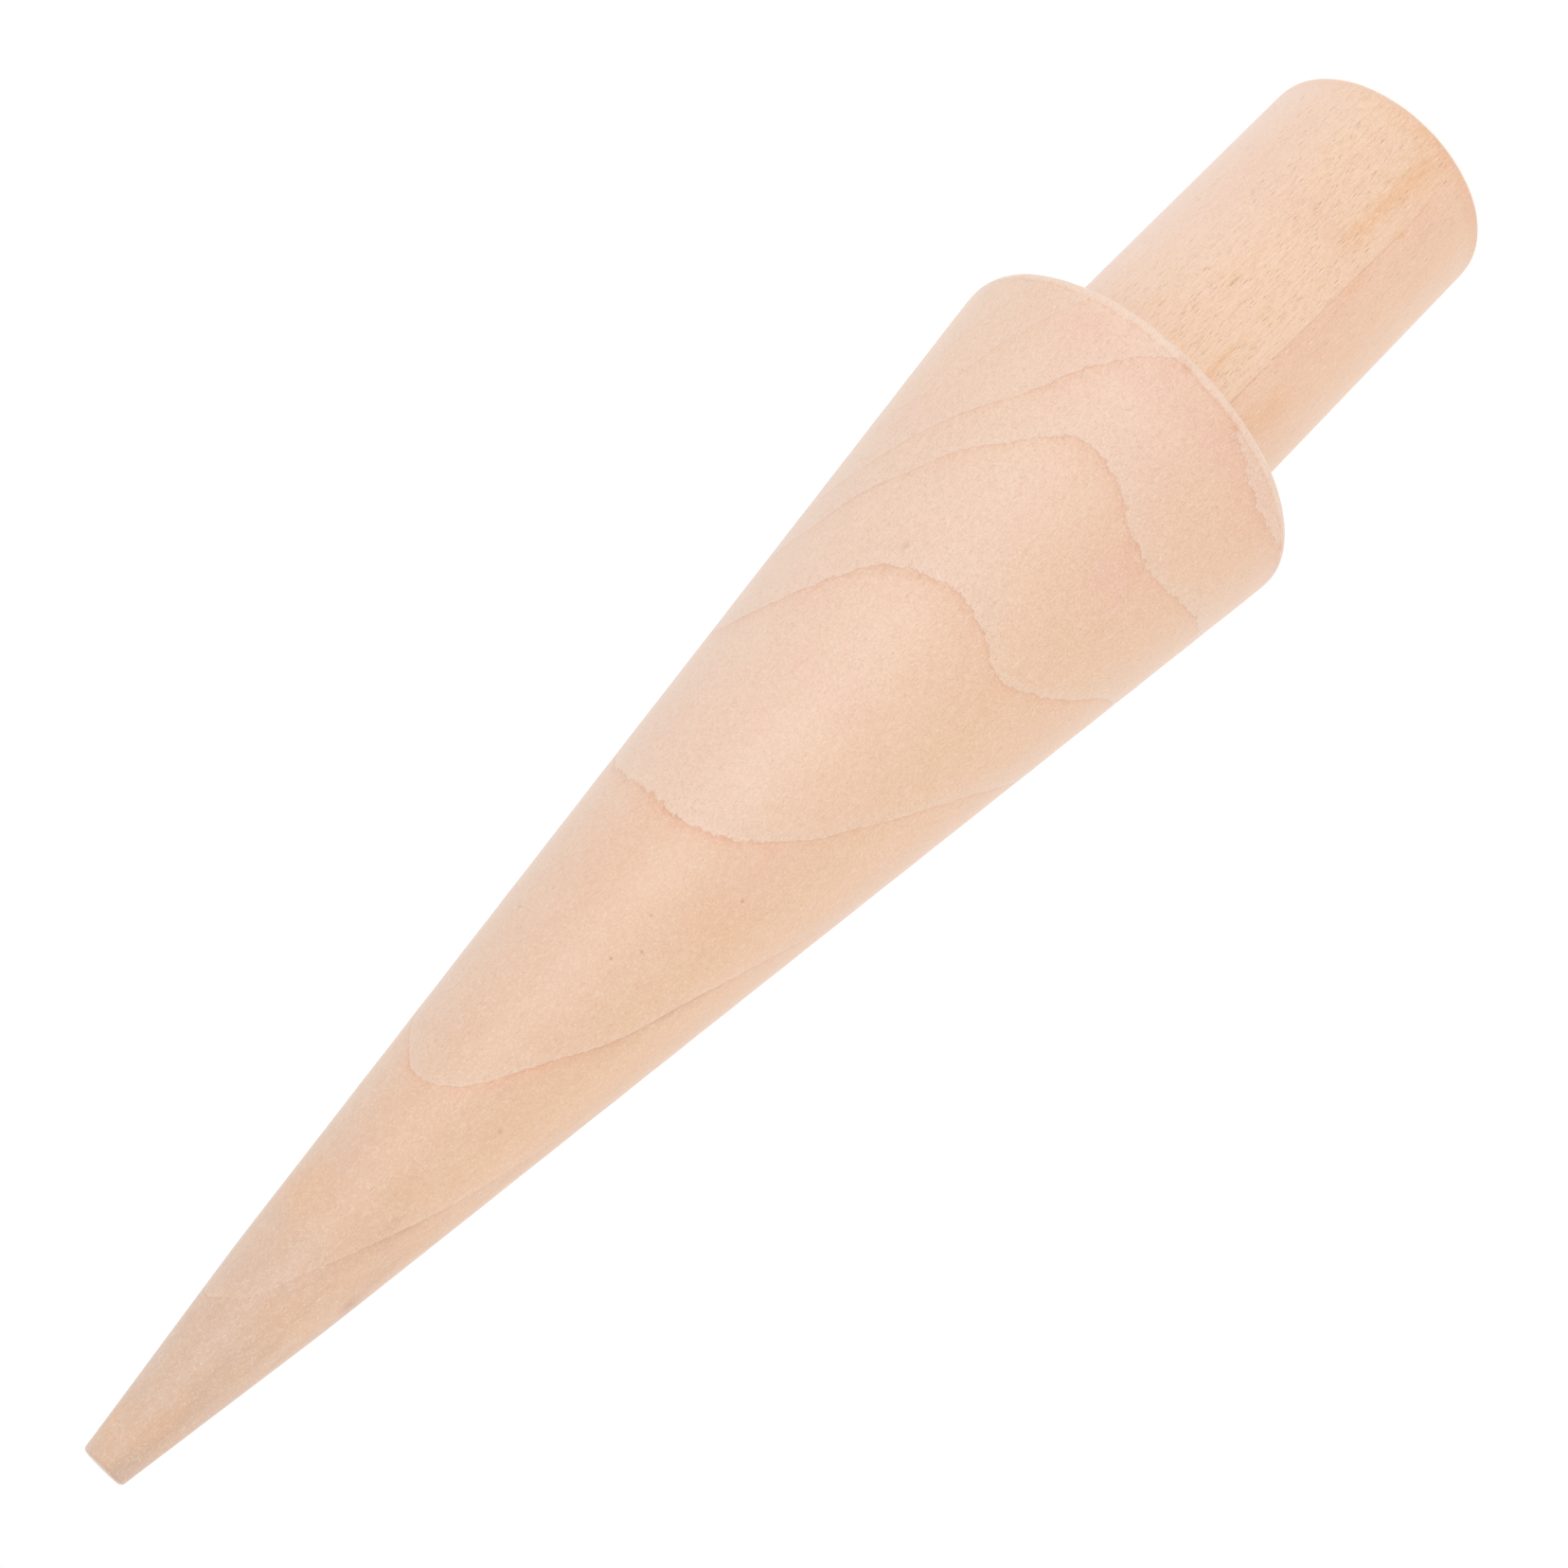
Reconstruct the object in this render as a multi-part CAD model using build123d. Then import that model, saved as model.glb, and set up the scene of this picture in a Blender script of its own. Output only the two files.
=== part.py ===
from build123d import *
import os
from math import atan, cos, sin, tan, hypot

# Wooden ring mandrel: a solid tapered cone with a cylindrical handle glued into its large end.
# The mandrel stands on the flat end of its handle. +Z runs along the axis, from the handle's end
# face (z = 0) up to the small tip. All lengths are in millimetres.

# ---- driving dimensions -------------------------------------------------------------------
TOTAL_LENGTH = 279.5        # handle end face to tip face
CONE_LENGTH = 215.0         # shoulder face to tip face
TIP_RADIUS = 3.5            # small end, before its edge is broken
TIP_TAPER_LENGTH = 33.0     # the last stretch tapers a little faster than the rest
KNEE_RADIUS = 8.5           # radius where the two tapers meet
RIM_RADIUS = 31.9           # large end, before its edge is rounded
KNEE_BLEND = 400.0          # radius of the blend that hides the change of taper
TIP_EDGE = 0.8              # rounding of the tip's edge
RIM_EDGE = 2.0              # rounding of the rim between the taper and the shoulder face

HANDLE_RADIUS = 20.4        # the grip is a plain cylinder
HANDLE_EDGE = 2.5           # rounding of the grip's outer end

SPIGOT_RADIUS = 11.0        # reduced end of the handle, glued into the cone
SPIGOT_LENGTH = 32.0
SPIGOT_CHAMFER = 1.0        # lead-in chamfer on the spigot's end
GLUE_GAP = 0.08             # radial glue film between spigot and socket
GLUE_POCKET = 1.0           # space left for glue at the bottom of the socket

# ---- derived positions --------------------------------------------------------------------
SHOULDER_Z = TOTAL_LENGTH - CONE_LENGTH
KNEE_Z = TOTAL_LENGTH - TIP_TAPER_LENGTH
SOCKET_RADIUS = SPIGOT_RADIUS + GLUE_GAP
SOCKET_DEPTH = SPIGOT_LENGTH + GLUE_POCKET

os.makedirs("parts", exist_ok=True)


def corner(profile, r, z):
    """The profile's vertex nearest to radius r and height z."""
    return min(profile.vertices(), key=lambda v: hypot(v.X - r, v.Z - z))


# ---- tapered body -------------------------------------------------------------------------
# Half section in the XZ plane: shoulder face, long taper, slightly steeper taper to the flat tip,
# and the blind socket bored up from the shoulder face.
half = Polyline(
    (SOCKET_RADIUS, 0, SHOULDER_Z),
    (RIM_RADIUS, 0, SHOULDER_Z),
    (KNEE_RADIUS, 0, KNEE_Z),
    (TIP_RADIUS, 0, TOTAL_LENGTH),
    (0, 0, TOTAL_LENGTH),
    (0, 0, SHOULDER_Z + SOCKET_DEPTH),
    (SOCKET_RADIUS, 0, SHOULDER_Z + SOCKET_DEPTH),
    close=True,
)
section = make_face(half)
section = fillet([corner(section, RIM_RADIUS, SHOULDER_Z)], RIM_EDGE)
section = fillet([corner(section, KNEE_RADIUS, KNEE_Z)], KNEE_BLEND)
section = fillet([corner(section, TIP_RADIUS, TOTAL_LENGTH)], TIP_EDGE)
tapered_body = revolve(section, Axis.Z, 360)

# ---- handle -------------------------------------------------------------------------------
# Grip cylinder with a rounded outer end. Its inner end seats on the shoulder face, and the reduced
# spigot above it fills the socket.
half = Polyline(
    (0, 0, 0),
    (HANDLE_RADIUS, 0, 0),
    (HANDLE_RADIUS, 0, SHOULDER_Z),
    (SPIGOT_RADIUS, 0, SHOULDER_Z),
    (SPIGOT_RADIUS, 0, SHOULDER_Z + SPIGOT_LENGTH),
    (0, 0, SHOULDER_Z + SPIGOT_LENGTH),
    close=True,
)
section = make_face(half)
section = fillet([corner(section, HANDLE_RADIUS, 0)], HANDLE_EDGE)
section = chamfer([corner(section, SPIGOT_RADIUS, SHOULDER_Z + SPIGOT_LENGTH)], SPIGOT_CHAMFER)
handle = revolve(section, Axis.Z, 360)

# ---- one STEP per piece -------------------------------------------------------------------
for name, solid in (("tapered_body", tapered_body), ("handle", handle)):
    solid.label = name
    export_step(solid, "parts/%s.step" % name)
    box = solid.bounding_box()
    print(name, "volume", round(solid.volume), "z", round(box.min.Z, 3), round(box.max.Z, 3),
          "r", round(box.max.X, 3), "valid", solid.is_valid)
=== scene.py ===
import bpy
import math
import random
from mathutils import Matrix, Vector


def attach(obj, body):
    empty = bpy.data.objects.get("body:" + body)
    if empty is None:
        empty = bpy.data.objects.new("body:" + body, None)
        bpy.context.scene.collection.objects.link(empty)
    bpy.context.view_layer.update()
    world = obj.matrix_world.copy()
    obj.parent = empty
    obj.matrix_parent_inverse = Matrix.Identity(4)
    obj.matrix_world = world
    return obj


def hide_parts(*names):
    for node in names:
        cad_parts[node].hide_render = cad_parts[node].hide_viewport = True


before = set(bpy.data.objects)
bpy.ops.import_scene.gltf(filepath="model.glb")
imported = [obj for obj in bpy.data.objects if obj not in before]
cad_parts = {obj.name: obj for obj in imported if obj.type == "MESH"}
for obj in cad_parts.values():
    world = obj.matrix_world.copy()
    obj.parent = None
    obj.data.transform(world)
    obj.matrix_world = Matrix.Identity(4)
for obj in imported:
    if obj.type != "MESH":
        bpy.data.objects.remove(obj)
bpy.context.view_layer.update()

MM = 0.001

# ---------------------------------------------------------------------------------------------
# The turned profile, in millimetres, in the CAD frame: z = 0 is the handle's end face, z = 279.5 the tip
# ---------------------------------------------------------------------------------------------
TOTAL, CONE = 279.5, 215.0
BLANK = 280.0          # the wood's figure is laid out on a 280 mm blank, whose handle end is then trimmed to length
SHOULDER = TOTAL - CONE
TIP_R, TIP_LEN, KNEE_R, RIM_R = 3.5, 33.0, 8.5, 31.9
KNEE_BLEND, TIP_EDGE, RIM_EDGE = 400.0, 0.8, 2.0
HANDLE_R, HANDLE_EDGE = 20.4, 2.5
SPIGOT_R, SPIGOT_LEN, SPIGOT_CH = 11.0, 32.0, 1.0
SOCKET_R, SOCKET_D = SPIGOT_R + 0.08, SPIGOT_LEN + 1.0


def rounded(points, radii, steps):
    """Round the corners of an open (r, z) line: one radius and one step count for each inner point."""
    out = [points[0]]
    for i in range(1, len(points) - 1):
        a, p, b = Vector(points[i - 1]), Vector(points[i]), Vector(points[i + 1])
        rad, n = radii[i - 1], steps[i - 1]
        if rad <= 0:
            out.append(tuple(p))
            continue
        u, v = (a - p).normalized(), (b - p).normalized()
        half = u.angle(v) / 2
        cut = rad / math.tan(half)
        centre = p + (u + v).normalized() * (rad / math.sin(half))
        s, e = p + u * cut - centre, p + v * cut - centre
        turn = s.angle_signed(e)
        for k in range(n + 1):
            t = -turn * k / n
            c, sn = math.cos(t), math.sin(t)
            out.append((centre.x + s.x * c - s.y * sn, centre.y + s.x * sn + s.y * c))
    out.append(points[-1])
    return out


def densify(line, step):
    out = [line[0]]
    for a, b in zip(line[:-1], line[1:]):
        d = math.dist(a, b)
        n = max(1, int(math.ceil(d / step)))
        for k in range(1, n + 1):
            out.append((a[0] + (b[0] - a[0]) * k / n, a[1] + (b[1] - a[1]) * k / n))
    return out


def lathe(name, line, seg, relief, islands):
    """Revolve an (r, z) line that starts and ends on the axis. relief(theta, r, z) moves a point by
    millimetres (dr, dz). islands(r, z, index, fraction) gives the map coordinates of a point."""
    verts, faces, uvs = [], [], []
    rows = []
    for i, (r, z) in enumerate(line):
        if r < 1e-6:
            rows.append([len(verts)])
            verts.append((0.0, 0.0, z * MM))
            continue
        row = []
        for s in range(seg):
            th = 2 * math.pi * s / seg + math.pi        # the map's seam runs down the far side
            dr, dz = relief(th, r, z)
            row.append(len(verts))
            # theta is measured from the side that faces -Y, growing towards +X
            verts.append(((r + dr) * math.sin(th) * MM, -(r + dr) * math.cos(th) * MM, (z + dz) * MM))
        rows.append(row)
    for i in range(len(rows) - 1):
        a, b = rows[i], rows[i + 1]
        for s in range(seg):
            t = (s + 1) % seg
            f0, f1 = s / seg, (s + 1) / seg
            if len(a) == 1:
                faces.append((a[0], b[t], b[s]))
                uvs.append([(i, (f0 + f1) / 2), (i + 1, f1), (i + 1, f0)])
            elif len(b) == 1:
                faces.append((a[s], a[t], b[0]))
                uvs.append([(i, f0), (i, f1), (i + 1, (f0 + f1) / 2)])
            else:
                faces.append((a[s], a[t], b[t], b[s]))
                uvs.append([(i, f0), (i, f1), (i + 1, f1), (i + 1, f0)])
    me = bpy.data.meshes.new(name)
    me.from_pydata(verts, [], faces)
    layer = me.uv_layers.new(name="OFBake")
    n = 0
    for poly in uvs:
        lo = min(p[0] for p in poly)
        for (i, f) in poly:
            layer.data[n].uv = islands(lo, i, f)
            n += 1
    me.validate(clean_customdata=False)
    me.polygons.foreach_set("use_smooth", [True] * len(me.polygons))
    me.set_sharp_from_angle(angle=math.radians(40))
    me.update()
    ob = bpy.data.objects.new(name, me)
    bpy.context.scene.collection.objects.link(ob)
    return ob


def wander(n, seed):
    """A smooth closed wobble around the axis: a few low harmonics with fixed phases, about -1 to 1."""
    r = random.Random(seed)
    terms = [(k, r.uniform(0.4, 1.0) / (k ** 0.6), r.uniform(0, 2 * math.pi)) for k in range(2, 2 + n)]
    top = sum(a for _, a, _ in terms) * 0.6
    return lambda th: sum(a * math.sin(k * th + p) for k, a, p in terms) / top


# ---- tapered body: line from the tip's centre down the outside, round the rim, across the shoulder,
# up the socket's wall and in to its bottom
KNEE_Z = TOTAL - TIP_LEN
outer = rounded([(0, TOTAL), (TIP_R, TOTAL), (KNEE_R, KNEE_Z), (RIM_R, SHOULDER), (SOCKET_R, SHOULDER)],
                [TIP_EDGE, KNEE_BLEND, RIM_EDGE], [8, 6, 12])
tip_face = densify(outer[:2], 0.6)
rest = outer[2:]
first_arc = rest[:8]
after_tip = rest[8:]
body_line = tip_face[:-1] + [outer[1]] + first_arc
lateral = densify([first_arc[-1]] + after_tip[:7], 0.75)[1:]
main = densify([after_tip[6], after_tip[7]], 0.75)[1:]
rim_arc = after_tip[8:20]
shoulder_line = densify([rim_arc[-1], (SOCKET_R, SHOULDER)], 1.2)[1:]
socket_line = densify([(SOCKET_R, SHOULDER), (SOCKET_R, SHOULDER + SOCKET_D)], 4.0)[1:] + \
    densify([(SOCKET_R, SHOULDER + SOCKET_D), (0.0, SHOULDER + SOCKET_D)], 2.5)[1:]
body_line += lateral + main + rim_arc + shoulder_line + socket_line

rim_wob, rim_wob2 = wander(9, 3), wander(14, 11)
turn_wob, turn_wob2 = wander(3, 5), wander(4, 21)


def body_relief(th, r, z):
    dr = dz = 0.0
    if r > SOCKET_R + 0.5:
        # hand sanding leaves the taper a few hundredths off true, and the rim's rounding a little uneven
        far = min(1.0, max(0.0, (TOTAL - z) / 60.0))
        dr += 0.03 * far * (0.6 * turn_wob(th + z * 0.004) + 0.4 * turn_wob2(th * 1.0 - z * 0.011))
        dr += 0.012 * far * math.sin(z * 0.55 + 1.1 * math.sin(z * 0.07))
        edge = max(0.0, 1.0 - abs(z - (SHOULDER + 0.9)) / 2.2)
        if r > RIM_R - 3.0 and edge > 0:
            w = edge * edge * (3 - 2 * edge) * (0.10 * rim_wob(th) + 0.06 * rim_wob2(th))
            dr -= 0.7 * (0.12 * edge + w)
            dz += 0.5 * w
    return dr, dz


def arc_lengths(line):
    s = [0.0]
    for a, b in zip(line[:-1], line[1:]):
        s.append(s[-1] + math.dist(a, b))
    return s


def make_islands(line, bands):
    """bands: (first index, last index, kind, box). kind 'strip' unrolls round the axis, 'disc' lays flat."""
    s = arc_lengths(line)

    def at(lo, i, f):
        for a, b, kind, (u0, v0, u1, v1) in bands:
            if a <= lo < b:
                if kind == "strip":
                    return (u0 + (u1 - u0) * f, v0 + (v1 - v0) * (s[b] - s[i]) / max(1e-9, s[b] - s[a]))
                r = line[i][0]
                big = max(line[k][0] for k in range(a, b + 1))
                th = 2 * math.pi * f
                return ((u0 + u1) / 2 + (u1 - u0) / 2 * r / big * math.cos(th),
                        (v0 + v1) / 2 + (v1 - v0) / 2 * r / big * math.sin(th))
        return (0.0, 0.0)
    return at


n_tip = len(tip_face) + 0
i_side0 = n_tip + 2                                  # partway round the tip's edge
i_side1 = len(body_line) - len(socket_line) - len(shoulder_line) - 4
i_sock = len(body_line) - len(socket_line) - 1
i_bot = i_sock + len(densify([(SOCKET_R, SHOULDER), (SOCKET_R, SHOULDER + SOCKET_D)], 4.0)) - 1
body_islands = make_islands(body_line, [
    (0, i_side0, "disc", (0.60, 0.02, 0.70, 0.12)),
    (i_side0, i_side1, "strip", (0.005, 0.225, 0.995, 0.995)),
    (i_side1, i_sock, "disc", (0.005, 0.005, 0.210, 0.210)),
    (i_sock, i_bot, "strip", (0.230, 0.02, 0.50, 0.20)),
    (i_bot, len(body_line) - 1, "disc", (0.52, 0.02, 0.58, 0.08)),
])
body = lathe("tapered_body_wood", body_line, 256, body_relief, body_islands)

# ---- handle: from the centre of its end face, up the grip, across the seat, up the spigot
grip = rounded([(0, 0), (HANDLE_R, 0), (HANDLE_R, SHOULDER), (SPIGOT_R, SHOULDER),
                (SPIGOT_R, SHOULDER + SPIGOT_LEN - SPIGOT_CH), (SPIGOT_R - SPIGOT_CH, SHOULDER + SPIGOT_LEN),
                (0, SHOULDER + SPIGOT_LEN)],
               [HANDLE_EDGE, 0, 0, 0, 0], [12, 1, 1, 1, 1])
face_line = densify(grip[:2], 1.5)
edge_line = grip[2:14]
wall_line = densify([edge_line[-1], (HANDLE_R, SHOULDER)], 0.75)[1:]
seat_line = densify([(HANDLE_R, SHOULDER), (SPIGOT_R, SHOULDER)], 1.6)[1:]
spig_line = densify(grip[16:], 3.0)[1:]
handle_line = face_line + edge_line + wall_line + seat_line + spig_line
grip_wob = wander(4, 31)
end_wob = wander(8, 17)


def handle_relief(th, r, z):
    dr = dz = 0.0
    if r > SPIGOT_R + 0.5 and z < SHOULDER - 0.2:
        up = min(1.0, (SHOULDER - z) / 8.0)
        dr += 0.025 * up * grip_wob(th + z * 0.01)
        edge = max(0.0, 1.0 - abs(z - 1.1) / 2.4)
        if r > HANDLE_R - 3.0 and edge > 0:
            w = edge * edge * (3 - 2 * edge) * 0.10 * end_wob(th)
            dr -= 0.08 * edge + abs(w)
    return dr, dz


h_face = len(face_line) + 3
h_wall = len(face_line) + len(edge_line) + len(wall_line) - 1
h_seat = h_wall + len(seat_line)
h_spig = len(handle_line) - 1 - (len(densify(grip[-2:], 3.0)) - 1)
handle_islands = make_islands(handle_line, [
    (0, h_face, "disc", (0.005, 0.005, 0.255, 0.255)),
    (h_face, h_wall, "strip", (0.005, 0.285, 0.995, 0.995)),
    (h_wall, h_seat, "disc", (0.270, 0.005, 0.520, 0.255)),
    (h_seat, h_spig, "strip", (0.540, 0.02, 0.850, 0.250)),
    (h_spig, len(handle_line) - 1, "disc", (0.870, 0.02, 0.980, 0.13)),
])
handle = lathe("handle_wood", handle_line, 256, handle_relief, handle_islands)


# ---------------------------------------------------------------------------------------------
# Node arithmetic: a small wrapper so the growth-ring fields read as formulas
# ---------------------------------------------------------------------------------------------
class Field:
    def __init__(self, tree, value):
        self.tree, self.value = tree, value

    def math(self, op, *others, clamp=False):
        node = self.tree.nodes.new("ShaderNodeMath")
        node.operation, node.use_clamp = op, clamp
        for slot, item in enumerate((self,) + others):
            v = item.value if isinstance(item, Field) else item
            if isinstance(v, (int, float)):
                node.inputs[slot].default_value = v
            else:
                self.tree.links.new(v, node.inputs[slot])
        return Field(self.tree, node.outputs[0])

    def __add__(self, o): return self.math("ADD", o)
    def __radd__(self, o): return self.math("ADD", o)
    def __sub__(self, o): return self.math("SUBTRACT", o)
    def __rsub__(self, o): return Field(self.tree, float(o)).math("SUBTRACT", self)
    def __mul__(self, o): return self.math("MULTIPLY", o)
    def __rmul__(self, o): return self.math("MULTIPLY", o)
    def __truediv__(self, o): return self.math("DIVIDE", o)
    def max(self, o): return self.math("MAXIMUM", o)
    def min(self, o): return self.math("MINIMUM", o)
    def abs(self): return self.math("ABSOLUTE")
    def sqrt(self): return self.math("SQRT")
    def exp(self): return self.math("EXPONENT")
    def fract(self): return self.math("FRACT")
    def floor(self): return self.math("FLOOR")
    def clamp(self): return self.math("ADD", 0.0, clamp=True)

    def ramp(self, a, b, lo=0.0, hi=1.0, kind="LINEAR"):
        node = self.tree.nodes.new("ShaderNodeMapRange")
        node.interpolation_type, node.clamp = kind, True
        self.tree.links.new(self.value, node.inputs[0])
        for k, v in zip((1, 2, 3, 4), (a, b, lo, hi)):
            node.inputs[k].default_value = v
        return Field(self.tree, node.outputs[0])


class Wood:
    """Node tree with the position in millimetres ready to use."""

    def __init__(self, name):
        self.mat = bpy.data.materials.new(name)
        self.mat.use_nodes = True
        self.tree = self.mat.node_tree
        self.tree.nodes.clear()
        coord = self.tree.nodes.new("ShaderNodeTexCoord")
        scale = self.tree.nodes.new("ShaderNodeVectorMath")
        scale.operation = "SCALE"
        scale.inputs["Scale"].default_value = 1000.0
        self.tree.links.new(coord.outputs["Object"], scale.inputs[0])
        self.pos = scale.outputs[0]
        sep = self.tree.nodes.new("ShaderNodeSeparateXYZ")
        self.tree.links.new(self.pos, sep.inputs[0])
        self.x, self.y, self.z = (Field(self.tree, sep.outputs[k]) for k in range(3))
        self.z = self.z + (BLANK - TOTAL)
        # degrees round the axis, 0 on the side that faces -Y, growing towards +X
        self.turn = self.x.math("ARCTAN2", self.y * -1.0) * (180.0 / math.pi)

    def stretched(self, sx, sy, sz, shift=(0, 0, 0)):
        node = self.tree.nodes.new("ShaderNodeVectorMath")
        node.operation = "MULTIPLY_ADD"
        self.tree.links.new(self.pos, node.inputs[0])
        node.inputs[1].default_value = (sx, sy, sz)
        node.inputs[2].default_value = shift
        return node.outputs[0]

    def noise(self, size, along=1.0, detail=2.0, rough=0.5, shift=0.0):
        """Noise centred on 0, about -1 to 1. size is the feature size in mm across the grain, and
        size * along its length down the grain."""
        node = self.tree.nodes.new("ShaderNodeTexNoise")
        node.noise_dimensions = "3D"
        node.inputs["Scale"].default_value = 1.0
        node.inputs["Detail"].default_value = detail
        node.inputs["Roughness"].default_value = rough
        vec = self.stretched(1 / size, 1 / size, 1 / (size * along), (shift, shift * 0.7 + 3.1, shift * 1.3))
        self.tree.links.new(vec, node.inputs["Vector"])
        return (Field(self.tree, node.outputs["Fac"]) - 0.5) * 2.6

    def cells(self, size, along, shift=0.0, jitter=1.0, aside=0.0):
        """Long cells down the grain: distance from each cell's middle and two random numbers per cell.
        aside moves the same pattern sideways by that many mm."""
        node = self.tree.nodes.new("ShaderNodeTexVoronoi")
        node.voronoi_dimensions, node.feature = "3D", "F1"
        node.inputs["Scale"].default_value = 1.0
        node.inputs["Randomness"].default_value = jitter
        vec = self.stretched(1 / size, 1 / size, 1 / (size * along), (shift + aside / size, shift * 1.7, shift * 0.6))
        self.tree.links.new(vec, node.inputs["Vector"])
        sep = self.tree.nodes.new("ShaderNodeSeparateColor")
        self.tree.links.new(node.outputs["Color"], sep.inputs[0])
        return Field(self.tree, node.outputs["Distance"]), Field(self.tree, sep.outputs[0]), \
            Field(self.tree, sep.outputs[1])

    def patch(self, deg, z, half_deg, half_z):
        """A soft round patch on the surface: 1 in its middle, fading out over half_deg and half_z."""
        a, b = (self.turn - deg) / half_deg, (self.z - z) / half_z
        return (-1.0 * (a * a + b * b)).exp()

    def colour(self, rgb):
        """How the wood looks in the light tent, as a surface colour."""
        return tuple(srgb(c) / TENT for c in rgb) + (1.0,)

    def mix(self, a, b, fac, kind="MIX"):
        node = self.tree.nodes.new("ShaderNodeMix")
        node.data_type, node.blend_type, node.clamp_factor = "RGBA", kind, True
        self.tree.links.new(fac.value, node.inputs[0])
        for slot, v in ((6, a), (7, b)):
            if isinstance(v, tuple):
                node.inputs[slot].default_value = v
            else:
                self.tree.links.new(v, node.inputs[slot])
        return node.outputs[2]

    def grained(self, col, grain, deep, pale):
        """Sanded grain: deeper where grain is below 0, paler where it is above."""
        col = self.mix(col, self.colour(deep), (grain * -1.0).max(0.0))
        return self.mix(col, self.colour(pale), grain.max(0.0))

    def finish(self, col, rough, height_mm):
        bsdf = self.tree.nodes.new("ShaderNodeBsdfPrincipled")
        out = self.tree.nodes.new("ShaderNodeOutputMaterial")
        bump = self.tree.nodes.new("ShaderNodeBump")
        bump.inputs["Strength"].default_value = 1.0
        bump.inputs["Distance"].default_value = MM
        self.tree.links.new(height_mm.value, bump.inputs["Height"])
        self.tree.links.new(col, bsdf.inputs["Base Color"])
        self.tree.links.new(rough.value, bsdf.inputs["Roughness"])
        self.tree.links.new(bump.outputs[0], bsdf.inputs["Normal"])
        bsdf.inputs["Specular IOR Level"].default_value = 0.5
        bsdf.inputs["Sheen Weight"].default_value = SHEEN
        bsdf.inputs["Sheen Roughness"].default_value = 0.3
        self.tree.links.new(bsdf.outputs[0], out.inputs[0])
        return self.mat


def srgb(c):
    c /= 255.0
    return c / 12.92 if c <= 0.04045 else ((c + 0.055) / 1.055) ** 2.4


SHEEN = 0.16
TENT = 1.235          # light that the tent and the key lamp together put on the front


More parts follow.
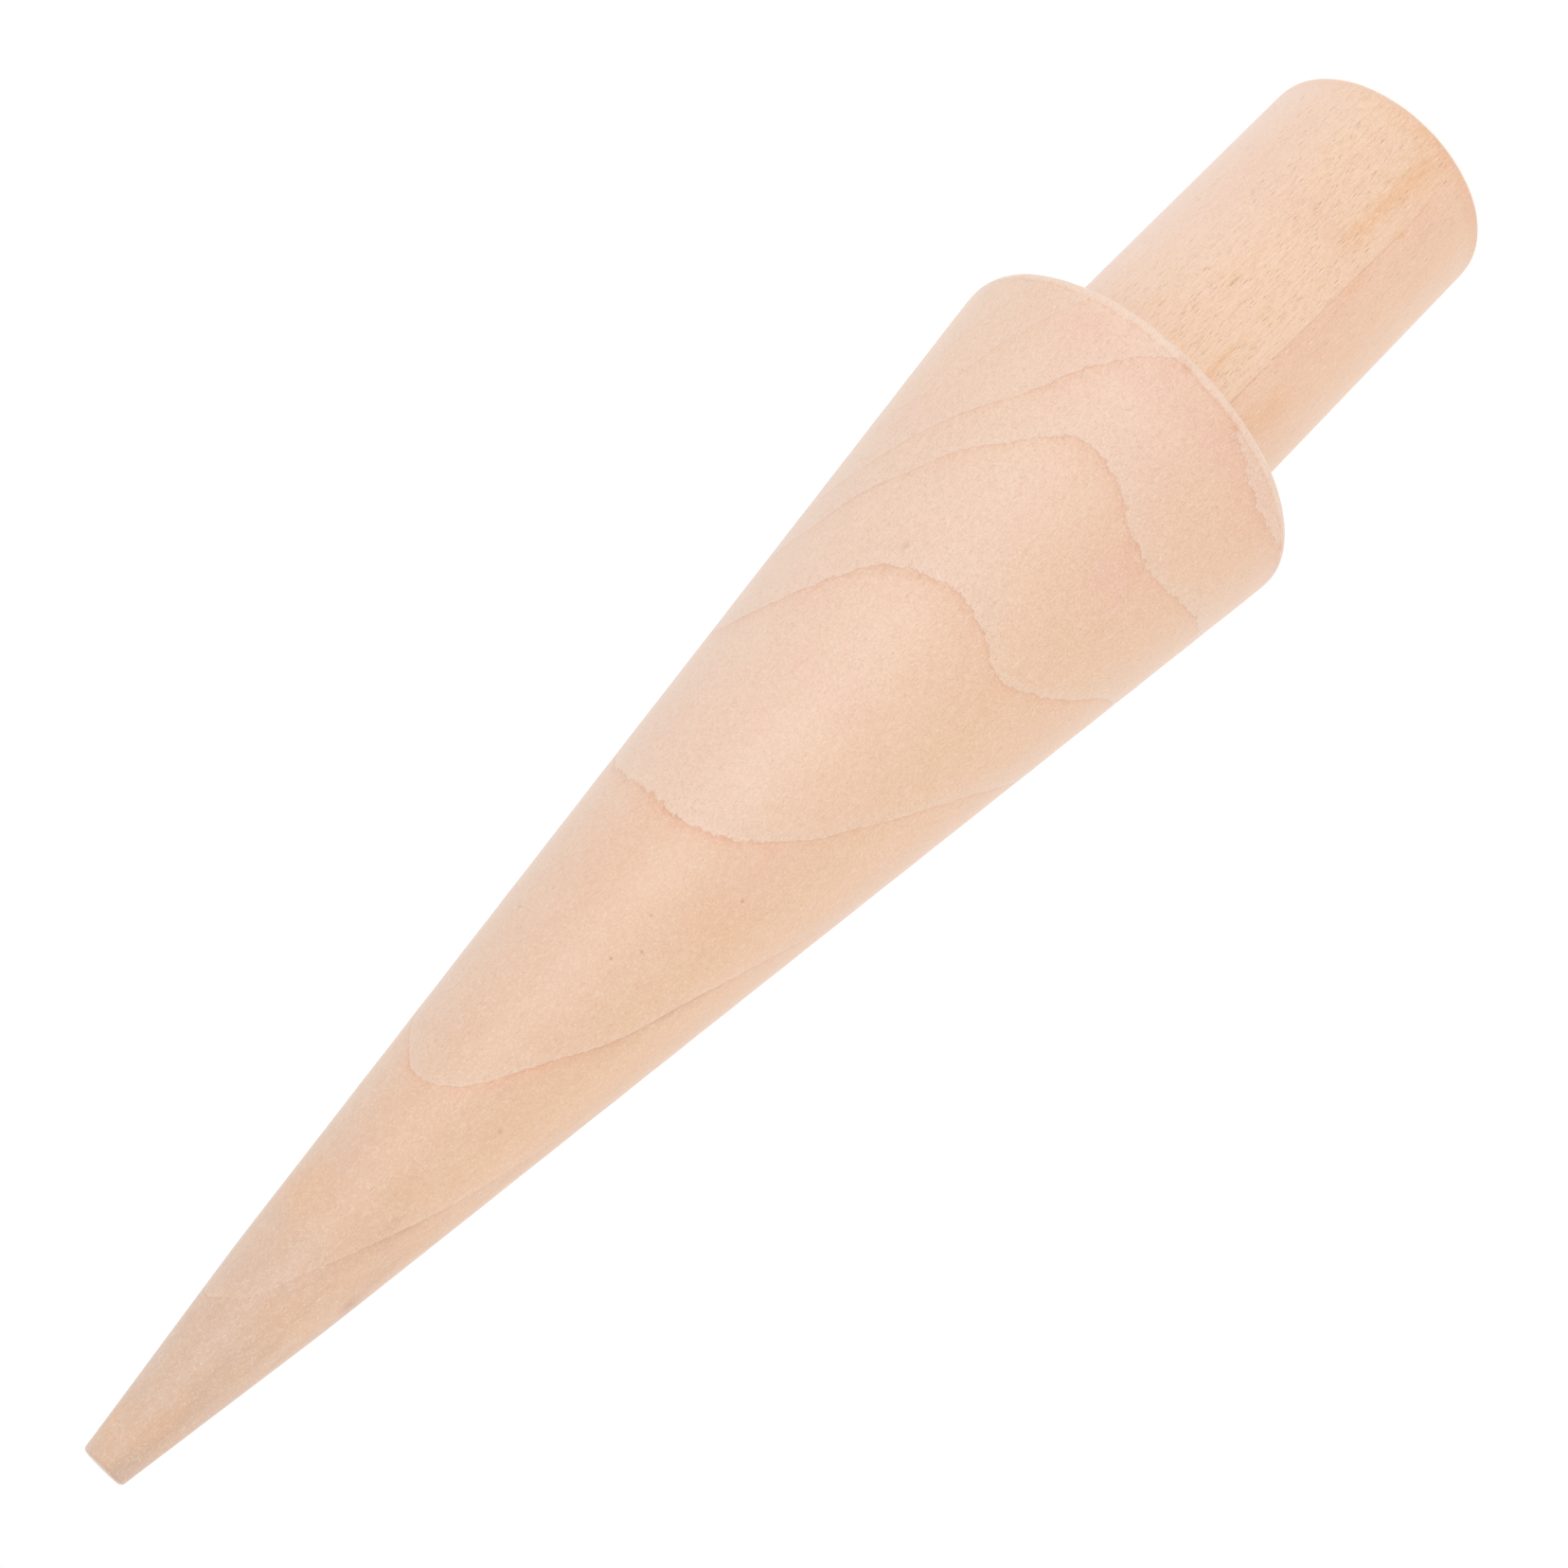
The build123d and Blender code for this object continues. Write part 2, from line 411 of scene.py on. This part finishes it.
# ---------------------------------------------------------------------------------------------
# Tapered body: pale close-grained hardwood. The heart of the tree runs through the piece a little off
# its axis, so each growth ring shows as one long tilted loop round the taper.
# ---------------------------------------------------------------------------------------------
def cone_wood():
    w = Wood("tapered_body_wood")
    x, y, z = w.x, w.y, w.z
    zc = (z - 170.0) / 100.0
    px = ((zc * 3.0184 - 2.4061) * zc - 4.6816) * zc - 3.8065
    py = ((zc * -4.3474 - 6.8435) * zc + 8.3453) * zc + 5.6052
    dx, dy = x - px, y - py
    dist = (dx * dx + dy * dy).sqrt()
    X, Y = x / 30.0, y / 30.0
    XX, YY, XY = X * X, Y * Y, X * Y
    q = XX - YY
    c3 = X * (XX - YY * 3.0)
    s3 = Y * (XX * 3.0 - YY)
    ring = dist - zc * 5.961 + XY * (zc * (-0.4287) - zc * zc * 0.376 + 1.4731) \
        + q * (zc * (-0.197) - zc * zc * 0.238 + 0.0538) \
        + c3 * (zc * 0.7368 + 1.5356) + s3 * (zc * 0.4192 - 0.0251)
    wave = w.noise(26.0, 1.6, 1.0, 0.5, 4.0)
    jag = w.noise(3.0, 1.2, 2.0, 0.6, 9.0)
    tooth = w.noise(0.9, 1.0, 1.5, 0.6, 19.0)
    ring = ring + wave * 0.16 + jag * 0.075 + tooth * 0.052 + x * 0.07 * z.ramp(222.0, 244.0)
    # single rings bulge or dip a little where the tree grew unevenly
    for deg, at, hd, hz, amount in ((14, 251, 16, 7, 0.42), (-36, 191, 14, 8, 0.34), (12, 212, 22, 8, 0.25), (60, 213, 14, 8, -0.22),
                                    (52, 166, 22, 9, -0.19), (-9, 118.5, 15, 8, -0.26), (-54, 110, 14, 8, 0.18),
                                    (54, 111.5, 12, 6, -0.23), (60, 86, 14, 7, 0.80),
                                    (30, 85, 14, 9, 0.40), (7, 68, 10, 5, -0.16)):
        ring = ring + w.patch(deg, at, hd, hz) * amount
    marks = [11.8747, 19.4203, 24.9115, 28.1639, 30.4677, 32.1147]
    inner, outer_gap = 14.0, 3.0
    # signed distance in millimetres of ring radius to the ring boundary before and after this point
    phase = None
    for a, b in zip(marks[:-1], marks[1:]):
        t = ring.ramp(a, b)
        phase = t if phase is None else phase + t
    phase = phase + ((ring - marks[-1]) / outer_gap).max(0.0) + ((ring - marks[0]) / inner).min(0.0)
    t = phase.fract()
    # width of the ring that this point lies in
    width = ring.ramp(marks[0] - 0.01, marks[0] + 0.01, inner, marks[1] - marks[0])
    for a, b, c in zip(marks[:-2], marks[1:-1], marks[2:]):
        width = width + ring.ramp(b - 0.01, b + 0.01, 0.0, (c - b) - (b - a))
    width = width + ring.ramp(marks[-1] - 0.01, marks[-1] + 0.01, 0.0, outer_gap - (marks[-1] - marks[-2]))
    before = (1.0 - t) * width          # to the next boundary outward
    after = t * width                   # since the last boundary

    blotch = w.noise(30.0, 1.7, 2.0, 0.5, 1.0)
    blotch2 = w.noise(9.0, 1.6, 2.0, 0.5, 6.0)
    mottle = w.noise(2.6, 1.3, 2.0, 0.55, 44.0)
    fine = w.noise(0.75, 1.5, 2.5, 0.7, 2.0)
    grit = w.noise(0.42, 1.2, 2.0, 0.65, 12.0)
    fibre = w.noise(0.7, 12.0, 2.0, 0.6, 5.0)
    broken = w.noise(3.2, 1.4, 2.0, 0.6, 15.0)

    col = w.mix(w.colour(CONE_BASE), w.colour(CONE_PINK), (blotch * 0.5 + blotch2 * 0.5 + mottle * 0.45 + 0.40).clamp())
    col = w.mix(col, w.colour(CONE_LIGHT), (blotch2 * -0.45 + mottle * -0.35 + 0.25).clamp())
    # towards the tip the wood is browner, and greyer where fingers and rings have rubbed it
    col = w.mix(col, w.colour(CONE_MID), (z + blotch * 14.0).ramp(148.0, 226.0))
    col = w.mix(col, w.colour(CONE_TIP), (z + blotch2 * 6.0).ramp(224.0, 262.0))
    # painted shade: the side turned away from the key lamp is a little darker and warmer
    col = w.mix(col, w.colour((239, 196, 159)), w.turn.ramp(10.0, -34.0, 0.0, 0.75) * w.turn.ramp(-46.0, -70.0, 1.0, 0.72)
                * z.ramp(212.0, 236.0, 1.0, 0.55) * w.turn.ramp(-150.0, -100.0))
    # painted reflection: the other side a little greyer and paler, like the bright tent reflected at grazing angles
    col = w.mix(col, w.colour((232, 212, 197)), w.turn.ramp(28.0, 60.0, 0.0, 0.32) * z.ramp(88.0, 108.0, 0.3, 1.0) * w.turn.ramp(160.0, 110.0))
    # browner and duller over the tip on one side
    col = w.mix(col, w.colour((196, 168, 152)), (w.patch(-38.0, 284.0, 27.0, 23.0) * 0.62).clamp())
    # pinker zones by the rim and a brown mark low on one side
    warm = w.patch(-20.0, 172.0, 13.0, 4.5) * 0.45 + w.patch(49.0, 236.0, 26.0, 4.5) * 0.55 + w.patch(57.0, 274.0, 18.0, 4.0) * 0.5 \
        + w.patch(-24.0, 270.0, 20.0, 7.0) * 0.35 + w.patch(-62.0, 233.0, 16.0, 7.0) * 0.35 + w.patch(-14.0, 228.0, 14.0, 3.0) * 0.30 \
        + w.patch(30.0, 176.0, 22.0, 10.0) * 0.22 + w.patch(-60.0, 196.0, 12.0, 16.0) * 0.2 + w.patch(4.0, 219.0, 17.0, 10.0) * 0.30 \
        + w.patch(0.0, 180.0, 13.0, 7.0) * 0.22 + w.patch(12.0, 280.0, 26.0, 9.0) * 0.25
    col = w.mix(col, w.colour((236, 186, 146)), (warm * (mottle * 0.6 + 0.8)).clamp())
    col = w.mix(col, w.colour((255, 219, 197)), (w.patch(4.0, 70.0, 32.0, 17.0) * 0.36).clamp())
    rosy = w.patch(-29.0, 96.0, 16.0, 7.0) * 0.9 + w.patch(-30.0, 70.0, 34.0, 5.0) * 0.9 + w.patch(-16.0, 80.0, 17.0, 8.0) * 0.45 \
        + w.patch(-24.0, 160.0, 12.0, 12.0) * 0.35 + w.patch(20.0, 72.0, 22.0, 3.5) * 0.5
    col = w.mix(col, w.colour(CONE_ROSE), (rosy * (mottle * 0.5 + 0.6)).clamp())
    col = w.mix(col, w.colour((204, 152, 122)), (w.patch(-68.0, 242.5, 9.0, 1.6) * 0.6 + w.patch(-58.0, 236.0, 9.0, 6.0) * 0.25).clamp())
    # late wood: a soft orange-pink fade that builds up to the ring's boundary, stronger in places
    fade = (broken * 0.25 + blotch2 * 0.45 + 0.75).clamp() * ring.ramp(32.0, 35.5, 1.0, 0.45)
    late = ((before * -5.5).exp() * 0.72 + (before * -1.8).exp() * 0.28) * fade
    # near the tip the fade is greyer and wider, with a second, fainter band beside it
    twin = (ring - 10.85 + jag * 0.10) / 0.22
    band = ((before * -1.6).exp() * 0.55 + (-1.0 * twin * twin).exp() * 0.35) * ring.ramp(12.4, 11.6) * (broken * 0.4 + 0.8)
    col = w.mix(col, w.colour((214, 174, 154)), (band * 0.60).clamp())
    col = w.mix(col, w.colour(CONE_LATE), (late * 0.56 * ring.ramp(11.6, 12.2, 0.35, 1.0)).clamp())
    # where the line runs along the grain its late wood is a wide brown band
    along = (before * -2.6).exp() * (w.patch(-43.0, 182.0, 16.0, 22.0) * 0.62 + w.patch(-34.0, 232.0, 20.0, 12.0) * 0.50)
    col = w.mix(col, w.colour((202, 154, 120)), (along * (broken * 0.4 + 0.9)).clamp())
    # and where it turns over its two outermost loops it is a wider orange one
    glow = (before * -2.4).exp() * (w.patch(-14.0, 205.0, 26.0, 12.0) * 0.62 + w.patch(14.0, 163.0, 26.0, 7.0) * 0.30)
    col = w.mix(col, w.colour((236, 176, 142)), (glow * (broken * 0.3 + 0.9)).clamp())
    # patchy pink, grey and orange near the tip
    motley = w.noise(5.0, 1.5, 2.0, 0.55, 87.0)
    worn = z.ramp(224.0, 242.0)
    col = w.mix(col, w.colour((216, 186, 174)), (motley * worn * 0.42).clamp())
    col = w.mix(col, w.colour((234, 186, 148)), (motley * worn * -0.38).clamp())
    # long brown fibres towards the tip
    streak = w.noise(1.25, 17.0, 2.0, 0.6, 81.0)
    side = w.turn.ramp(2.0, -30.0, 0.25, 1.0) * z.ramp(182.0, 232.0)
    col = w.mix(col, w.colour((198, 156, 126)), (streak * side * 0.42).clamp())
    # the boundary itself: one thin reddish line, hard on its outer side
    line = before.ramp(0.0, 0.055, 1.0, 0.0) * (broken * 0.35 + tooth * 0.35 + 0.62).clamp() * ring.ramp(32.0, 35.5, 1.0, 0.5)
    soft = before.ramp(0.0, 0.16, 1.0, 0.0) * fade
    accent = w.patch(22.0, 165.5, 9.0, 4.0) * 0.22 + w.patch(-12.0, 207.0, 24.0, 10.0) * 0.14 + w.patch(-28.0, 240.0, 16.0, 8.0) * 0.14
    col = w.mix(col, w.colour(CONE_LINE), (line * (accent + 0.24) + soft * 0.09).clamp())
    # early wood just outside the boundary: paler and greyer
    early = (after * -2.2).exp() * z.ramp(228.0, 244.0, 1.0, 0.45)
    col = w.mix(col, w.colour(CONE_EARLY), (early * 0.34 + (after * -12.0).exp() * 0.12).clamp())

    # pores: their darker colour is partly their own, partly painted shade in the grooves
    d1, r1, g1 = w.cells(0.46, 1.9, 1.0)
    pore_zone = (after * -1.1).exp() * 0.34 + 0.22 + mottle * 0.10
    pore = d1.ramp(0.14, 0.36, 1.0, 0.0, "SMOOTHSTEP") * (pore_zone - r1).ramp(-0.02, 0.06)
    col = w.mix(col, w.colour(CONE_PORE_AND_SHADE), (pore * (g1 * 0.20 + 0.10)).clamp())
    # painted highlight: a paler copy of the pores set 0.2 mm aside, the lit edge of each groove
    d3, r3, g3 = w.cells(0.46, 1.9, 1.0, aside=0.20)
    pale = d3.ramp(0.14, 0.36, 1.0, 0.0, "SMOOTHSTEP") * (pore_zone - r3).ramp(-0.02, 0.06) * (1.0 - pore)
    col = w.mix(col, w.colour((252, 226, 205)), (pale * 0.34).clamp())
    d2, r2, g2 = w.cells(1.9, 2.2, 7.0)
    fleck = d2.ramp(0.04, 0.09, 1.0, 0.0, "SMOOTHSTEP") * (0.045 - r2).ramp(-0.01, 0.01) * 0.5
    # the few small dark flecks that show on the front
    for deg, at, hd, hz, amount in ((-1.8, 186.2, 0.9, 0.24, 1.0), (-9.8, 182.5, 1.3, 0.22, 0.8), (-1.0, 178.1, 0.7, 0.22, 0.9),
                                    (-25.0, 167.3, 0.7, 0.28, 1.0), (-29.0, 213.0, 1.4, 0.24, 0.7), (58.0, 188.0, 2.4, 0.22, 0.4),
                                    (25.3, 114.5, 0.9, 0.70, 0.45)):
        fleck = fleck + w.patch(deg, at, hd, hz) * amount
    col = w.mix(col, w.colour((168, 120, 92)), (fleck * 0.55).clamp())
    # the rim's rounding is paler and whiter, partly its end grain and partly a painted sheen where it is seen at
    # grazing, with an uneven inner edge
    rag = z + jag * 0.30 + tooth * 0.22
    rim = rag.ramp(67.35, 66.75) * (x * x + y * y).ramp(870.0, 890.0)
    col = w.mix(col, w.colour((250, 226, 208)), (rim * (mottle * 0.25 + 0.48)).clamp())
    col = w.mix(col, w.colour(CONE_LINE), ((rag - 67.45).abs().ramp(0.0, 0.20, 1.0, 0.0) * (broken * 0.3 + 0.12)).clamp() * (x * x + y * y).ramp(880.0, 900.0))
    dust = w.noise(0.22, 1.3, 1.0, 0.5, 72.0)
    grain = mottle * 0.08 + (fine * 0.20 + grit * 0.26 + dust * 0.35) * z.ramp(110.0, 170.0, 1.20, 1.0) + fibre * 0.06
    col = w.grained(col, grain, (216, 168, 136), (255, 236, 216))
    rough = (fine * 0.05 + grit * 0.04 + late * -0.04 + 0.40).clamp()
    height = fine * 0.010 + grit * 0.006 - pore * 0.018 + pale * 0.006 + line * -0.008 + early * 0.004 + fibre * 0.002 \
        + mottle * 0.010 - fleck * 0.03
    return w.finish(col, rough, height)


# ---------------------------------------------------------------------------------------------
# Handle: a separate dowel of yellower wood. Its one clear ring boundary runs down the grip and turns
# over near the end; short open pores follow the grain.
# ---------------------------------------------------------------------------------------------
def handle_wood():
    w = Wood("handle_wood")
    x, y, z = w.x, w.y, w.z
    wave = w.noise(14.0, 1.8, 1.0, 0.5, 21.0)
    jag = w.noise(1.6, 2.6, 2.5, 0.6, 27.0)
    tooth = w.noise(0.45, 1.6, 1.5, 0.6, 29.0)
    px = (z - 35.0) * 0.02 - 50.0
    dx, dy = x - px, y - 25.0
    end = (13.0 - z).max(0.0)
    ring = (dx * dx + dy * dy).sqrt() - end * end * 0.045 + wave * 0.5 + jag * 0.22 + tooth * 0.07
    mark, gap = 60.45, 21.0
    t = ((ring - mark) / gap).fract()
    before, after = (1.0 - t) * gap, t * gap

    blotch = w.noise(16.0, 2.2, 2.0, 0.5, 31.0)
    blotch2 = w.noise(5.0, 2.4, 2.0, 0.5, 33.0)
    mottle = w.noise(1.8, 2.0, 2.0, 0.55, 47.0)
    fine = w.noise(0.55, 2.6, 2.5, 0.7, 35.0)
    grit = w.noise(0.32, 1.3, 2.0, 0.65, 37.0)
    fibre = w.noise(0.45, 16.0, 2.0, 0.65, 39.0)
    broken = w.noise(2.6, 2.4, 2.0, 0.6, 41.0)

    col = w.mix(w.colour(HANDLE_BASE), w.colour(HANDLE_PINK), (blotch * 0.45 + mottle * 0.35 + 0.30).clamp())
    col = w.mix(col, w.colour(HANDLE_YELLOW), (blotch2 * 0.55 + mottle * -0.25 + 0.28).clamp())
    # painted reflection: one side paler and whiter, like the bright tent reflected at grazing angles
    col = w.mix(col, w.colour((250, 223, 207)), w.turn.ramp(12.0, 58.0, 0.0, 0.62) * w.turn.ramp(150.0, 100.0))
    # painted shade: the side turned away from the key lamp a little darker and warmer
    col = w.mix(col, w.colour((240, 196, 164)), w.turn.ramp(-21.0, -34.0, 0.0, 0.55) * w.turn.ramp(-44.0, -62.0, 1.0, 0.55)
                * w.turn.ramp(-150.0, -100.0))
    # painted light: a paler band just under the shoulder, lifting the shade that the body's rim casts on the grip
    col = w.mix(col, w.colour((255, 222, 194)), (w.patch(-16.0, 65.0, 42.0, 7.5) * 0.64).clamp())
    col = w.mix(col, w.colour((240, 190, 152)), (w.patch(-24.0, 11.0, 11.0, 8.0) * 0.24).clamp())
    fade = (broken * 0.30 + blotch2 * 0.45 + 0.78).clamp()
    late = ((before * -1.0).exp() * 0.65 + (before * -0.30).exp() * 0.30) * fade
    low = z.ramp(8.0, 17.0, 0.35, 1.0)
    col = w.mix(col, w.colour(HANDLE_LATE), (late * 0.60 * low * (w.patch(-28.0, 37.0, 14.0, 11.0) * 0.35 + w.patch(-30.0, 60.0, 14.0, 7.0) * 0.2 + 0.70)).clamp())
    line = before.ramp(0.0, 0.30, 1.0, 0.0) * (broken * 0.55 + 0.55).clamp()
    col = w.mix(col, w.colour(HANDLE_LINE), (line * 0.50 * low).clamp())

    # amber stains: the second leg of the arch near the end, two by the shoulder, and a warm band along
    # the end's rounded edge
    leg = w.patch(-10.5, 19.5, 4.8, 8.0) + w.patch(-12.5, 8.5, 6.0, 4.5) * 0.9
    amber = leg * 0.85 + w.patch(0.0, 2.0, 18.0, 3.6) * 0.4 + w.patch(-42.0, 52.5, 6.0, 4.5) * 0.60 + w.patch(-38.0, 58.0, 7.0, 4.0) * 0.35 \
        + w.patch(-7.5, 55.5, 1.7, 4.5) * 0.75 + w.patch(-8.5, 61.0, 3.0, 3.0) * 0.4 + w.patch(-26.0, 30.0, 2.6, 4.0) * 0.5 \
        + w.patch(-25.5, 17.5, 1.8, 1.6) * 0.7 + (z - 1.2).abs().ramp(0.0, 4.4, 1.0, 0.0) * 0.22 + w.patch(-12.0, 24.0, 7.0, 3.2) * 0.45 \
        + w.patch(-14.0, 9.0, 13.0, 12.0) * 0.24 + w.patch(4.0, 20.0, 8.0, 16.0) * 0.14
    amber = (amber * (broken * 0.45 + fibre * 0.30 + 0.75)).clamp()
    col = w.mix(col, w.colour(HANDLE_AMBER), (amber * 0.70).clamp())
    col = w.mix(col, w.colour((242, 184, 150)), ((z - 1.2 + broken * 0.6).abs().ramp(0.0, 4.2, 0.55, 0.0) * (blotch2 * 0.4 + 0.9) * w.turn.ramp(2.0, -16.0, 0.15, 1.0)).clamp())
    rosy = w.patch(-30.0, 36.0, 5.0, 9.0) * 0.6 + w.patch(-25.5, 46.0, 2.4, 4.0) * 0.6 + w.patch(8.0, 27.0, 16.0, 4.0) * 0.35 \
        + w.patch(-32.0, 14.0, 5.0, 5.0) * 0.4 + w.patch(44.0, 22.0, 16.0, 14.0) * 0.25
    col = w.mix(col, w.colour(HANDLE_ROSE), (rosy * (mottle * 0.5 + 0.7)).clamp())

    # open pores: short grooves down the grain, thickest on the early-wood side of the line
    front = ((w.turn - 2.0) / 34.0)
    thick = (-1.0 * front * front).exp() * (w.turn + 25.0).ramp(0.0, 3.0)
    zone = thick * (z.ramp(6.0, 36.0, 0.36, 0.58) * z.ramp(50.0, 62.0, 1.0, 0.80) + blotch2 * 0.26) + 0.11 + mottle * 0.16
    d1, r1, g1 = w.cells(0.42, 6.0, 51.0)
    pore = d1.ramp(0.15, 0.29, 1.0, 0.0, "SMOOTHSTEP") * (zone - r1).ramp(-0.02, 0.05)
    # painted highlight: a paler copy of the pores set 0.19 mm aside, the lit edge of each groove
    d4, r4, g4 = w.cells(0.42, 6.0, 51.0, aside=0.19)
    pale = d4.ramp(0.15, 0.29, 1.0, 0.0, "SMOOTHSTEP") * (zone - r4).ramp(-0.02, 0.05) * (1.0 - pore)
    d2, r2, g2 = w.cells(0.70, 5.0, 57.0)
    big = d2.ramp(0.10, 0.20, 1.0, 0.0, "SMOOTHSTEP") * (thick * 0.14 + 0.05 + leg * 0.25 + w.patch(-12.5, 8.0, 5.0, 4.5) * 0.45 - r2).ramp(-0.01, 0.02)
    big = big.max(w.patch(12.4, 44.8, 0.75, 1.3) * 0.9)
    # painted highlight beside the pores
    col = w.mix(col, w.colour((254, 230, 208)), (pale * (g4 * 0.45 + 0.50)).clamp())
    # pores: their darker colour is partly their own, partly painted shade in the grooves
    col = w.mix(col, w.colour(HANDLE_PORE_AND_SHADE), (pore * (g1 * 0.32 + 0.26) + big * 0.42).clamp())
    groove = w.noise(0.34, 7.0, 1.5, 0.6, 67.0)
    dust = w.noise(0.22, 1.8, 1.0, 0.5, 74.0)
    grain = mottle * 0.06 + fine * 0.18 + grit * 0.19 + dust * 0.38 + fibre * 0.14 + groove * (thick * 0.30 + 0.12)
    col = w.grained(col, grain, (214, 166, 130), (255, 234, 210))
    rough = (fine * 0.05 + grit * 0.04 + 0.40).clamp()
    height = fine * 0.010 + grit * 0.005 + fibre * 0.003 + mottle * 0.006 - pore * 0.020 + pale * 0.008 - big * 0.030 - line * 0.015
    return w.finish(col, rough, height)


CONE_BASE, CONE_PINK, CONE_LIGHT = (243, 208, 180), (243, 204, 184), (246, 214, 191)
CONE_MID, CONE_TIP, CONE_ROSE = (233, 195, 167), (223, 190, 166), (241, 194, 175)
CONE_LATE, CONE_LINE, CONE_EARLY, CONE_PORE_AND_SHADE = (240, 188, 156), (196, 126, 90), (240, 214, 196), (202, 158, 130)
HANDLE_BASE, HANDLE_PINK, HANDLE_YELLOW = (248, 211, 183), (247, 208, 188), (247, 211, 176)
HANDLE_LATE, HANDLE_LINE, HANDLE_AMBER = (240, 187, 155), (178, 106, 72), (241, 182, 128)
HANDLE_ROSE, HANDLE_PORE_AND_SHADE = (240, 190, 168), (197, 138, 95)

body.data.materials.append(cone_wood())
handle.data.materials.append(handle_wood())

for piece, node, slot in ((body, "tapered_body", "body_wood"), (handle, "handle", "handle_wood")):
    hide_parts(node)
    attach(piece, "root")

# ---------------------------------------------------------------------------------------------
# Studio: a bright, even light tent
# ---------------------------------------------------------------------------------------------
scene = bpy.context.scene
world = bpy.data.worlds.new("tent")
world.use_nodes = True
bg = world.node_tree.nodes["Background"]
bg.inputs[0].default_value = (1.0, 1.0, 1.0, 1.0)
bg.inputs[1].default_value = 1.0
scene.world = world
scene.view_settings.view_transform = "Standard"
scene.view_settings.look = "None"
scene.view_settings.exposure = 0.0
scene.view_settings.gamma = 1.0

floor_mesh = bpy.data.meshes.new("floor")
F_HALF = 6.0
floor_mesh.from_pydata([(-F_HALF, -F_HALF, -0.00005), (F_HALF, -F_HALF, -0.00005), (F_HALF, F_HALF, -0.00005),
                        (-F_HALF, F_HALF, -0.00005)], [], [(0, 1, 2, 3)])
floor = bpy.data.objects.new("floor", floor_mesh)
scene.collection.objects.link(floor)
fm = bpy.data.materials.new("floor_paper")
fm.use_nodes = True
fb = fm.node_tree.nodes["Principled BSDF"]
fb.inputs["Base Color"].default_value = (0.20, 0.20, 0.20, 1.0)
fb.inputs["Roughness"].default_value = 0.9
fb.inputs["Specular IOR Level"].default_value = 0.1
fb.inputs["Emission Color"].default_value = (1.0, 1.0, 1.0, 1.0)
fb.inputs["Emission Strength"].default_value = 0.86
floor.data.materials.append(fm)


def area(name, where, target, size, power):
    data = bpy.data.lights.new(name, "AREA")
    data.shape, data.size, data.energy = "DISK", size, power
    ob = bpy.data.objects.new(name, data)
    ob.location = where
    ob.rotation_euler = (Vector(target) - Vector(where)).to_track_quat("-Z", "Y").to_euler()
    scene.collection.objects.link(ob)
    return ob


area("key", (0.20, -0.72, 0.22), (0, 0, 0.14), 0.55, 1.05)
area("side", (-0.74, 0.16, 0.24), (0, 0, 0.14), 0.60, 0.62)

# ---------------------------------------------------------------------------------------------
# Camera: level with the tip and a little above, looking down the taper, rolled so the tip points to
# the lower left
# ---------------------------------------------------------------------------------------------
cam_data = bpy.data.cameras.new("camera")
cam_data.sensor_fit = "HORIZONTAL"
cam_data.sensor_width = 36.0
cam_data.lens = 73.913
cam_data.clip_start, cam_data.clip_end = 0.01, 30.0
cam = bpy.data.objects.new("camera", cam_data)
right = Vector((-0.71132717, -0.23020895, -0.66409149))
up = Vector((0.70286106, -0.23298187, -0.67209061))
back = right.cross(up)
m = Matrix((right, up, back)).transposed().to_4x4()
m.translation = Vector((-0.56568763, -443.81335522, 298.23793954)) * MM
cam.matrix_world = m
scene.collection.objects.link(cam)
scene.camera = cam
